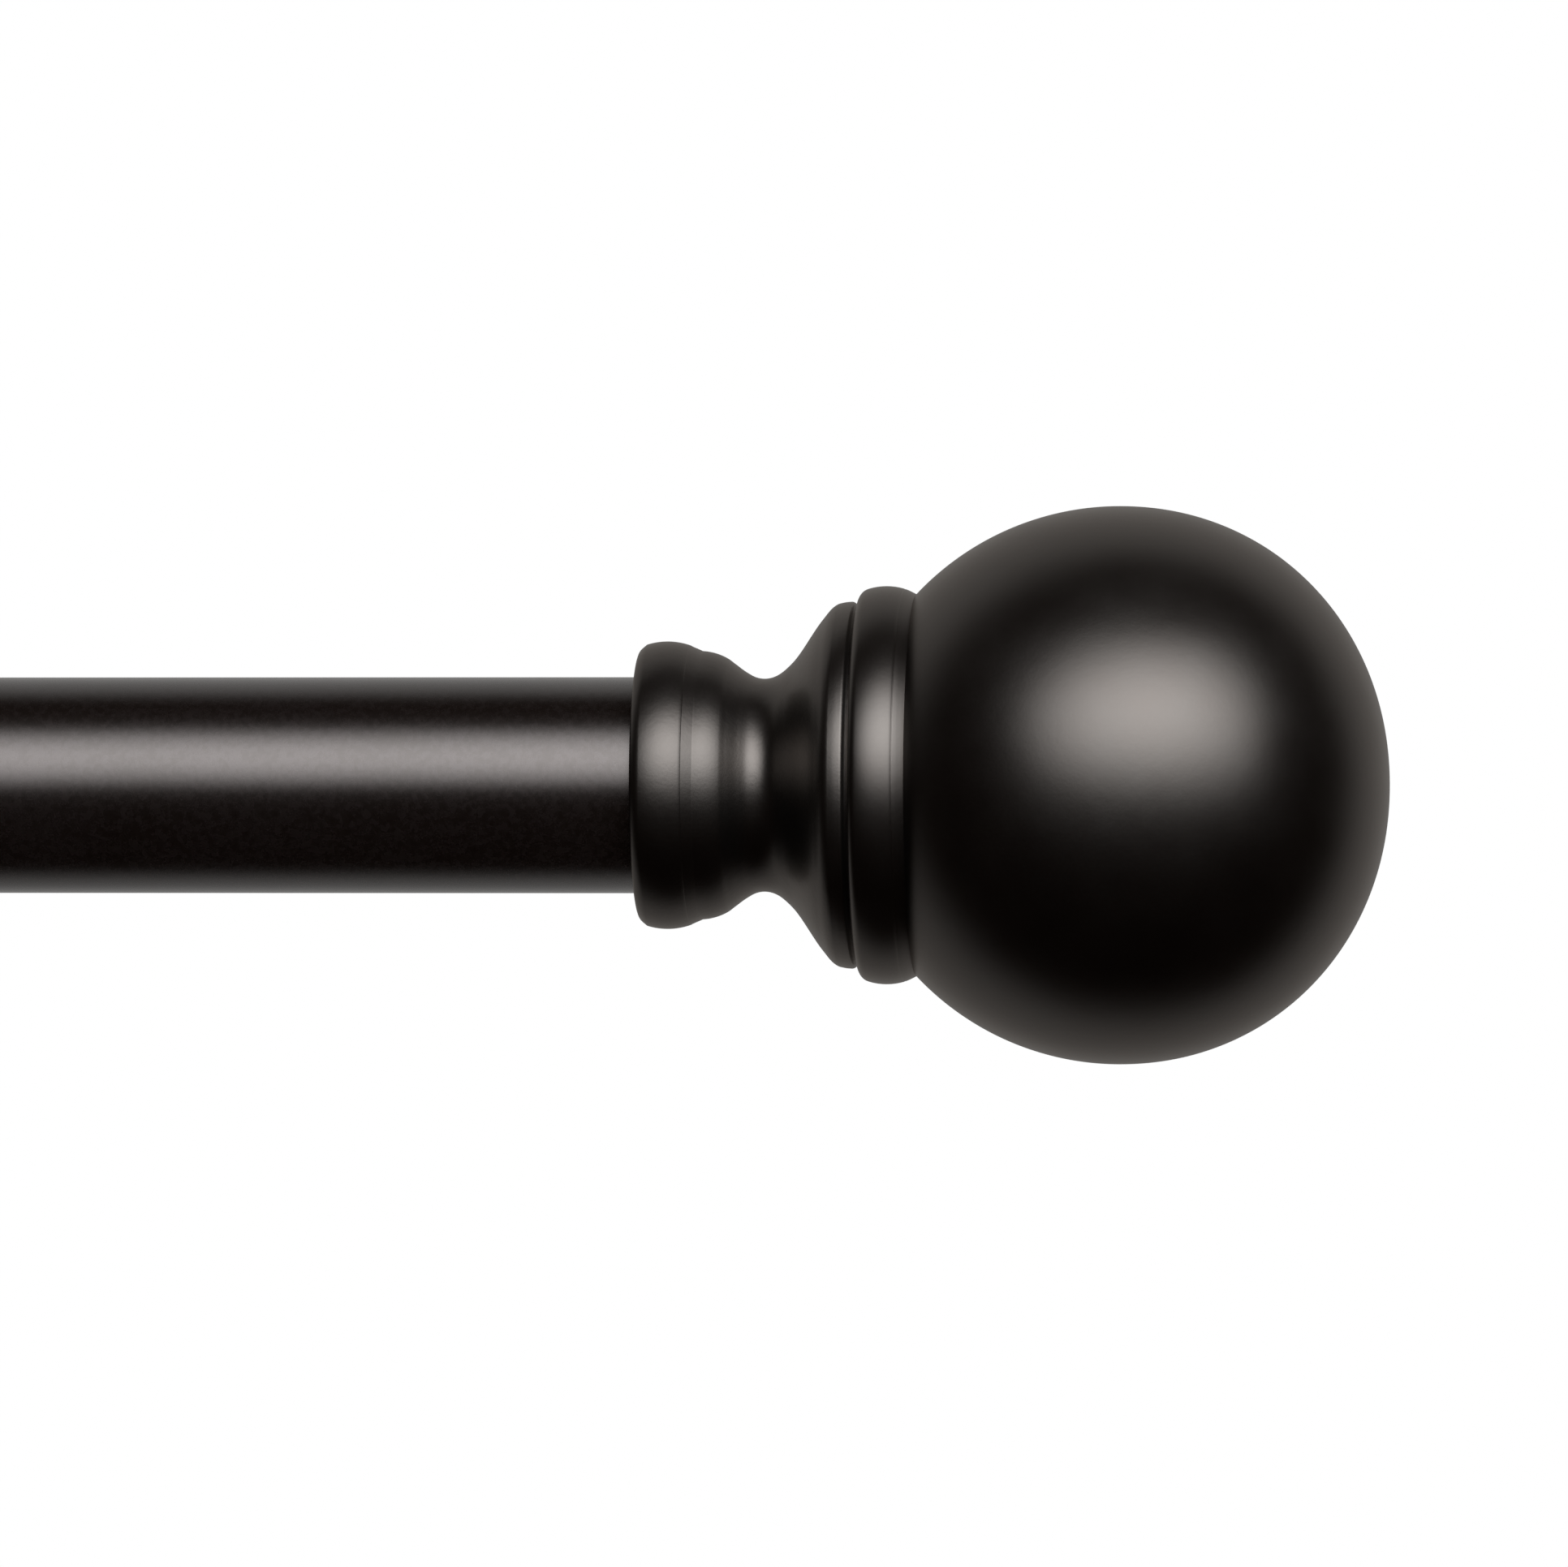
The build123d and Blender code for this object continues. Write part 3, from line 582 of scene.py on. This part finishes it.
LINER_CORNERS = [
    (LINER_LENGTH / 2, LINER_BORE),
    (0.0, LINER_BORE, 0.15),
    (0.0, ROD_RADIUS, 0.8),
    (LINER_LIP, ROD_RADIUS, 0.1),
    (LINER_LIP, ROD_RADIUS - TUBE_WALL),
    (LINER_LENGTH, ROD_RADIUS - TUBE_WALL, 0.15),
    (LINER_LENGTH, LINER_BORE, 0.15),
    (LINER_LENGTH / 2, LINER_BORE),
]
liner_place = (LINER_LOW.x, ROD_Y, 0)
liner_outline = eased(LINER_CORNERS)[:-1]
liner = turned("rod_liner", liner_outline, liner_place, ALONG_ROD, DARK_PLASTIC, PLAIN)
stand_for(liner, "outer_tube_liner", "outer_rod")
ADAPTER_LOW, ADAPTER_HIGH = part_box("inner_tube_adapter")
ADAPTER_LENGTH = (ADAPTER_HIGH.x - ADAPTER_LOW.x) / MM
ADAPTER_CORNERS = [
    (ADAPTER_LENGTH / 2, INNER_RADIUS),
    (0.0, INNER_RADIUS, 0.15),
    (0.0, ROD_RADIUS, 0.3),
    (ADAPTER_LENGTH, ROD_RADIUS, 0.8),
    (ADAPTER_LENGTH, INNER_RADIUS, 0.15),
    (ADAPTER_LENGTH / 2, INNER_RADIUS),
]
adapter_place = (ADAPTER_LOW.x, ROD_Y, 0)
adapter_outline = eased(ADAPTER_CORNERS)[:-1]
adapter = turned("rod_adapter", adapter_outline, adapter_place, ALONG_ROD, DARK_PLASTIC, PLAIN)
stand_for(adapter, "inner_tube_adapter", "inner_rod")

# ---- brackets ------------------------------------------------------------------------------------
ROSETTE_LOW, ROSETTE_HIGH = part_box("rosette_right")
BRACKET_X = (ROSETTE_LOW.x + ROSETTE_HIGH.x) / 2
ROSETTE_RADIUS = (ROSETTE_HIGH.x - ROSETTE_LOW.x) / 2 / MM
ROSETTE_START = -ROSETTE_HIGH.y / MM
ROSETTE_END = -ROSETTE_LOW.y / MM
SLEEVE_LOW, SLEEVE_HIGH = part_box("post_sleeve_right")
SLEEVE_START = -SLEEVE_HIGH.y / MM
SLEEVE_END = -SLEEVE_LOW.y / MM
FLANGE_RADIUS = (SLEEVE_HIGH.x - SLEEVE_LOW.x) / 2 / MM
FLANGE_THICKNESS = 2.5
FLANGE_END = SLEEVE_START + FLANGE_THICKNESS
POST_RADIUS = 7.0
COLLAR_RADIUS = 9.0
COLLAR_LENGTH = 12.0
PLUG_END = 13.0
POST_SCREW_RADIUS = 3.0
LOCK_SCREW_HOLE = 2.08
ARM_LOW, ARM_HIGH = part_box("arm_right")
ARM_RADIUS = (ARM_HIGH.x - ARM_LOW.x) / 2 / MM
ARM_START = -ARM_HIGH.y / MM
ARM_END = -ARM_LOW.y / MM
ARM_HOLE_DEPTH = 15.0
ARM_HOLE_RADIUS = 2.5
THUMB_LOW, THUMB_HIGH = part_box("thumb_screw_right")
THUMB_RADIUS = (THUMB_HIGH.x - THUMB_LOW.x) / 2 / MM
THUMB_START = -THUMB_HIGH.y / MM
THUMB_END = -THUMB_LOW.y / MM
THUMB_HEAD_LENGTH = 6.0
THUMB_SHANK_RADIUS = 2.5
THUMB_PITCH = 0.8
THUMB_THREAD_DEPTH = 0.4
THUMB_HEAD_START = THUMB_END - THUMB_HEAD_LENGTH
THUMB_THREAD_START = THUMB_START + 0.3
THUMB_THREAD_END = THUMB_HEAD_START - 1.0
KNURL_COUNT = 20
KNURL_DEPTH = 0.3
KNURL_SHARE = 0.32  # half width of a knurl's groove, as a share of their spacing
FACE_GROOVE_OUTER = 4.6
FACE_GROOVE_INNER = 4.0
FACE_GROOVE_DEPTH = 0.5
FACE_GROOVE_EDGE = 0.12
SCREWS_LOW, SCREWS_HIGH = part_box("wall_screws")
WALL_SCREW_HEAD = 4.2
WALL_SCREW_HEIGHT = SCREWS_HIGH.z / MM - WALL_SCREW_HEAD
WALL_SCREW_TIP = -SCREWS_HIGH.y / MM
WALL_SCREW_CROWN = -SCREWS_LOW.y / MM
WALL_SCREW_RADIUS = 2.1
WALL_SCREW_NECK = 2.45
WALL_SCREW_PITCH = 1.8
WALL_SCREW_POINT = 4.5
WALL_SCREW_THREAD_DEPTH = 0.7
WALL_SCREW_THREAD_END = -1.0
WALL_SCREW_CORE = 1.6
CROWN_EDGE = 0.3  # height above the plate where the head's crown starts
CROSS_LENGTH = 4.2
CROSS_WIDTH = 0.9
CROSS_DEPTH = 1.6
PLATE_THICKNESS = 3.0


def rosette_outline():
    """The rosette: rim at the wall, skirt, bead, dome and nose, then its thin hollow back."""
    radius = ROSETTE_RADIUS
    skirt = eased([(ROSETTE_START, radius - 2.0), (ROSETTE_START, radius, 0.25), (3.4, radius)])
    bead = arc((3.4, radius), (5.2, radius - 0.6), (6.3, radius - 2.2), 10)
    brow = [(6.5, radius - 3.2), (7.6, 34.0), (9.2, 31.0)]
    dome = flowing([*brow, (11.0, 22.0), (12.6, 15.0), (15.0, 11.4)], -0.3, -0.15)
    nose = arc((15.0, 11.4), (16.4, 11.2), (ROSETTE_END, 9.8), 10)
    opening = POST_RADIUS + LOOSE
    hole = eased([(ROSETTE_END, 9.8), (ROSETTE_END, opening, 0.15), (9.6, opening)])
    inside = [(9.6, 14.0), (8.8, 22.0), (7.2, 30.6), (5.0, radius - 2.6), (4.2, radius - 2.0)]
    return skirt + bead[1:] + dome + nose[1:] + hole[1:] + inside


def sleeve_outline():
    """The post sleeve: flange, tube and collar, with the arm's bore."""
    back = SLEEVE_END - COLLAR_LENGTH
    corners = [
        (SLEEVE_START, POST_SCREW_RADIUS),
        (SLEEVE_START, FLANGE_RADIUS, 0.2),
        (FLANGE_END, FLANGE_RADIUS, 0.8),
        (FLANGE_END, POST_RADIUS, 0.4),
        (back, POST_RADIUS),
        (back, COLLAR_RADIUS, 1.4),
        (SLEEVE_END, COLLAR_RADIUS, 1.4),
        (SLEEVE_END, ARM_RADIUS + RUNNING, 0.3),
        (PLUG_END, ARM_RADIUS + RUNNING),
        (PLUG_END, POST_SCREW_RADIUS),
    ]
    return eased(corners, 8)


def arm_outline():
    """The arm, with the threaded hole for the cradle's screw in its front end."""
    corners = [
        (ARM_START, 0.0),
        (ARM_START, ARM_RADIUS, 0.6),
        (ARM_END, ARM_RADIUS, 0.3),
        (ARM_END, ARM_HOLE_RADIUS),
        (ARM_END - ARM_HOLE_DEPTH, ARM_HOLE_RADIUS),
        (ARM_END - ARM_HOLE_DEPTH, 0.0),
    ]
    return eased(corners)


def thumb_outline():
    """The thumb screw: tip, shank and a round head with a ring groove in its face."""
    tip = [(THUMB_START, 0.0), (THUMB_START, THUMB_SHANK_RADIUS - THUMB_THREAD_DEPTH)]
    shank = thread_rows(THUMB_THREAD_START, THUMB_THREAD_END, THUMB_SHANK_RADIUS, THUMB_PITCH, 8)
    groove_floor = THUMB_END - FACE_GROOVE_DEPTH
    corners = [
        (THUMB_THREAD_END, THUMB_SHANK_RADIUS),
        (THUMB_HEAD_START, THUMB_SHANK_RADIUS, 0.2),
        (THUMB_HEAD_START, THUMB_RADIUS, 0.9),
        (THUMB_END, THUMB_RADIUS, 0.9),
        (THUMB_END, FACE_GROOVE_OUTER, FACE_GROOVE_EDGE),
        (groove_floor, FACE_GROOVE_OUTER, FACE_GROOVE_EDGE),
        (groove_floor, FACE_GROOVE_INNER, FACE_GROOVE_EDGE),
        (THUMB_END, FACE_GROOVE_INNER, FACE_GROOVE_EDGE),
        (THUMB_END, 0.0),
    ]
    return tip + shank + eased(corners, 5)[1:]


def thumb_relief(distance, radius, angle):
    """Thread on the shank, round grooves around the head."""
    if distance < THUMB_THREAD_END:
        cut_thread = thread(THUMB_PITCH, THUMB_THREAD_DEPTH, THUMB_THREAD_START, THUMB_THREAD_END)
        return cut_thread(distance, radius, angle)
    if radius < THUMB_RADIUS - 1.0:
        return radius
    across = ((KNURL_COUNT * angle / (2 * math.pi)) % 1.0 - 0.5) / KNURL_SHARE
    return radius - KNURL_DEPTH * max(0.0, 1 - across * across)


def wall_screw_outline():
    """A wall screw: point, shank, plain neck in the plate and crowned head."""
    point_end = WALL_SCREW_TIP + WALL_SCREW_POINT
    tip = [(WALL_SCREW_TIP, 0.0)]
    point = thread_rows(WALL_SCREW_TIP + 0.2, point_end, WALL_SCREW_RADIUS, WALL_SCREW_PITCH, 12)
    taper = [(d, radius * (d - WALL_SCREW_TIP) / WALL_SCREW_POINT) for d, radius in point]
    shank = thread_rows(point_end, WALL_SCREW_THREAD_END, WALL_SCREW_RADIUS, WALL_SCREW_PITCH, 12)
    rim = (PLATE_THICKNESS + CROWN_EDGE, WALL_SCREW_HEAD - 0.05)
    neck = [
        (WALL_SCREW_THREAD_END, WALL_SCREW_CORE),
        (0.0, WALL_SCREW_CORE),
        (0.0, WALL_SCREW_NECK, 0.1),
        (PLATE_THICKNESS, WALL_SCREW_NECK),
        (PLATE_THICKNESS, WALL_SCREW_HEAD, 0.15),
        rim,
    ]
    crown = arc(rim, (PLATE_THICKNESS + 1.7, WALL_SCREW_HEAD - 1.2), (WALL_SCREW_CROWN, 0.0), 12)
    crown[-1] = (WALL_SCREW_CROWN, 0.0)
    return tip + taper + shank[1:] + eased(neck) + crown[1:]


def wall_screw_relief(distance, radius, angle):
    """Wood screw thread, running out towards the point."""
    depth = WALL_SCREW_THREAD_DEPTH * min(1.0, (distance - WALL_SCREW_TIP) / WALL_SCREW_POINT)
    cut_thread = thread(WALL_SCREW_PITCH, depth, WALL_SCREW_TIP + 0.1, WALL_SCREW_THREAD_END - 0.1)
    return cut_thread(distance, radius, angle)


def slot_cutter(x, z, width, height):
    """A box for cutting a slot of the cross recess into a wall screw's crown."""
    front = -(WALL_SCREW_CROWN + 1.0) * MM
    back = -(WALL_SCREW_CROWN - CROSS_DEPTH) * MM
    corners = []
    for y in (front, back):
        for dx, dz in ((-1, -1), (1, -1), (1, 1), (-1, 1)):
            corners.append((x + dx * width * MM / 2, y, z + dz * height * MM / 2))
    faces = [(0, 1, 2, 3), (7, 6, 5, 4), (0, 4, 5, 1), (1, 5, 6, 2), (2, 6, 7, 3), (3, 7, 4, 0)]
    return new_object("cross_recess", corners, faces, STEEL)


for side, sign in SIDES:
    x_centre = sign * BRACKET_X
    foot = (x_centre, 0, 0)
    rosette = turned(f"rosette_cover_{side}", rosette_outline(), foot, INTO_ROOM, BRONZE, FINE)
    stand_for(rosette, f"rosette_{side}", f"rosette_{side}")
    sleeve = turned(f"sleeve_{side}", sleeve_outline(), foot, INTO_ROOM, BRONZE, PLAIN)
    hole_place = (x_centre, -(SLEEVE_END - COLLAR_LENGTH / 2) * MM, 0)
    cut(sleeve, [drill("lock_screw_hole", LOCK_SCREW_HOLE, hole_place, (0, 0, -1), BRONZE)])
    stand_for(sleeve, f"post_sleeve_{side}", "wall_mount")
    arm = turned(f"arm_rod_{side}", arm_outline(), foot, INTO_ROOM, BRONZE, PLAIN)
    stand_for(arm, f"arm_{side}", f"arm_{side}")
    profile = thumb_outline()
    thumb = turned(f"thumb_{side}", profile, foot, INTO_ROOM, BRONZE, KNURLED, thumb_relief)
    stand_for(thumb, f"thumb_screw_{side}", f"clamp_screw_{side}")
    for level, z_screw in (("top", WALL_SCREW_HEIGHT * MM), ("low", -WALL_SCREW_HEIGHT * MM)):
        name = f"wall_screw_{side}_{level}"
        place = (x_centre, 0, z_screw)
        profile = wall_screw_outline()
        screw = turned(name, profile, place, INTO_ROOM, STEEL, THREADED, wall_screw_relief)
        flat_slot = slot_cutter(x_centre, z_screw, CROSS_LENGTH, CROSS_WIDTH)
        upright_slot = slot_cutter(x_centre, z_screw, CROSS_WIDTH, CROSS_LENGTH)
        cut(screw, [flat_slot, upright_slot])
        stand_for(screw, "wall_screws", "wall_mount")

# ---- surroundings --------------------------------------------------------------------------------


def add_camera():
    data = bpy.data.cameras.new("camera")
    data.sensor_width = SENSOR
    data.lens = SENSOR * CAMERA_DISTANCE / VIEW_WIDTH
    data.clip_end = 100.0
    camera = bpy.data.objects.new("camera", data)
    bpy.context.scene.collection.objects.link(camera)
    target = Vector((FINIAL_MOUTH + TARGET_FROM_MOUTH, ROD_Y, TARGET_HEIGHT))
    back = Vector((math.sin(CAMERA_AZIMUTH), -math.cos(CAMERA_AZIMUTH), 0))
    camera.location = target + back * CAMERA_DISTANCE
    camera.rotation_euler = (math.pi / 2, 0, CAMERA_AZIMUTH)
    bpy.context.scene.camera = camera


def soft_edge(nodes, links, position):
    """1 in the middle of the lamp, falling smoothly to 0 at its edges, for a place from 0 to 1."""
    from_middle = nodes.new("ShaderNodeMath")
    from_middle.operation = "SUBTRACT"
    from_middle.inputs[1].default_value = 0.5
    links.new(position, from_middle.inputs[0])
    distance = nodes.new("ShaderNodeMath")
    distance.operation = "ABSOLUTE"
    links.new(from_middle.outputs[0], distance.inputs[0])
    fall = nodes.new("ShaderNodeMapRange")
    fall.interpolation_type = "SMOOTHSTEP"
    fall.inputs["From Min"].default_value = 0.0
    fall.inputs["From Max"].default_value = 0.5
    fall.inputs["To Min"].default_value = 1.0
    fall.inputs["To Max"].default_value = 0.0
    links.new(distance.outputs[0], fall.inputs["Value"])
    return fall.outputs["Result"]


def add_softbox():
    """A soft-edged lamp aimed at the right finial. Azimuth 0 is straight in front of the wall."""
    data = bpy.data.lights.new("softbox", "AREA")
    data.shape = "RECTANGLE"
    data.size, data.size_y = SOFTBOX_SIZE
    data.energy = SOFTBOX_RADIANCE * math.pi * data.size * data.size_y
    data.use_nodes = True
    nodes, links = data.node_tree.nodes, data.node_tree.links
    surface = nodes.new("ShaderNodeNewGeometry")
    split = nodes.new("ShaderNodeSeparateXYZ")
    links.new(surface.outputs["Parametric"], split.inputs[0])
    both = nodes.new("ShaderNodeMath")
    both.operation = "MULTIPLY"
    links.new(soft_edge(nodes, links, split.outputs["X"]), both.inputs[0])
    links.new(soft_edge(nodes, links, split.outputs["Y"]), both.inputs[1])
    links.new(both.outputs[0], nodes["Emission"].inputs["Strength"])
    lamp = bpy.data.objects.new("softbox", data)
    bpy.context.scene.collection.objects.link(lamp)
    azimuth, elevation = math.radians(SOFTBOX_AZIMUTH), math.radians(SOFTBOX_ELEVATION)
    flat = math.cos(elevation)
    back = Vector((math.sin(azimuth) * flat, -math.cos(azimuth) * flat, math.sin(elevation)))
    lamp.location = Vector((FINIAL_MOUTH + SOFTBOX_AIM, ROD_Y, 0)) + back * SOFTBOX_DISTANCE
    lamp.rotation_euler = back.to_track_quat("Z", "Y").to_euler()
    lamp.visible_camera = False


def add_world():
    """White for the camera; for reflections, a dark room in front and a pale one behind."""
    world = bpy.data.worlds.new("surroundings")
    bpy.context.scene.world = world
    world.use_nodes = True
    nodes, links = world.node_tree.nodes, world.node_tree.links
    nodes.clear()
    place = nodes.new("ShaderNodeTexCoord")
    facing = nodes.new("ShaderNodeVectorMath")
    facing.operation = "DOT_PRODUCT"
    facing.inputs[1].default_value = (math.sin(ROOM_AZIMUTH), -math.cos(ROOM_AZIMUTH), 0)
    links.new(place.outputs["Generated"], facing.inputs[0])
    depth = nodes.new("ShaderNodeMapRange")
    depth.interpolation_type = "SMOOTHSTEP"
    depth.inputs["From Min"].default_value = ROOM_DARK_TO
    depth.inputs["From Max"].default_value = ROOM_PALE_FROM
    links.new(facing.outputs["Value"], depth.inputs["Value"])
    colour = nodes.new("ShaderNodeMix")
    colour.data_type = "RGBA"
    colour.inputs["A"].default_value = (*ROOM_DARK, 1)
    colour.inputs["B"].default_value = (*ROOM_PALE, 1)
    links.new(depth.outputs["Result"], colour.inputs["Factor"])
    split = nodes.new("ShaderNodeSeparateXYZ")
    links.new(place.outputs["Generated"], split.inputs[0])
    lift = nodes.new("ShaderNodeMapRange")
    lift.inputs["From Min"].default_value = -1.0
    lift.inputs["From Max"].default_value = 1.0
    lift.inputs["To Min"].default_value = ROOM_BELOW
    lift.inputs["To Max"].default_value = ROOM_ABOVE
    links.new(split.outputs["Z"], lift.inputs["Value"])
    room = nodes.new("ShaderNodeBackground")
    links.new(colour.outputs["Result"], room.inputs["Color"])
    links.new(lift.outputs["Result"], room.inputs["Strength"])
    backdrop = nodes.new("ShaderNodeBackground")
    backdrop.inputs["Color"].default_value = (1, 1, 1, 1)
    ray = nodes.new("ShaderNodeLightPath")
    chosen = nodes.new("ShaderNodeMixShader")
    links.new(ray.outputs["Is Camera Ray"], chosen.inputs["Fac"])
    links.new(room.outputs[0], chosen.inputs[1])
    links.new(backdrop.outputs[0], chosen.inputs[2])
    output = nodes.new("ShaderNodeOutputWorld")
    links.new(chosen.outputs[0], output.inputs["Surface"])


def add_floor():
    material, shader, place = new_material("pale_floor")
    cloud = noise(material, place, 400.0, 2.0)
    colour = blended(material, cloud, (0.78, 0.78, 0.77), (0.82, 0.82, 0.81))
    material.node_tree.links.new(colour, shader.inputs["Base Color"])
    shader.inputs["Roughness"].default_value = 0.6
    half = FLOOR_HALF
    corners = [(-half, -half), (half, -half), (half, half), (-half, half)]
    places = [(x, y, FLOOR_HEIGHT) for x, y in corners]
    floor = new_object("floor", places, [(0, 1, 2, 3)], material)
    floor.visible_glossy = False


add_camera()
add_world()
add_floor()
add_softbox()
bpy.context.scene.view_settings.view_transform = "Standard"
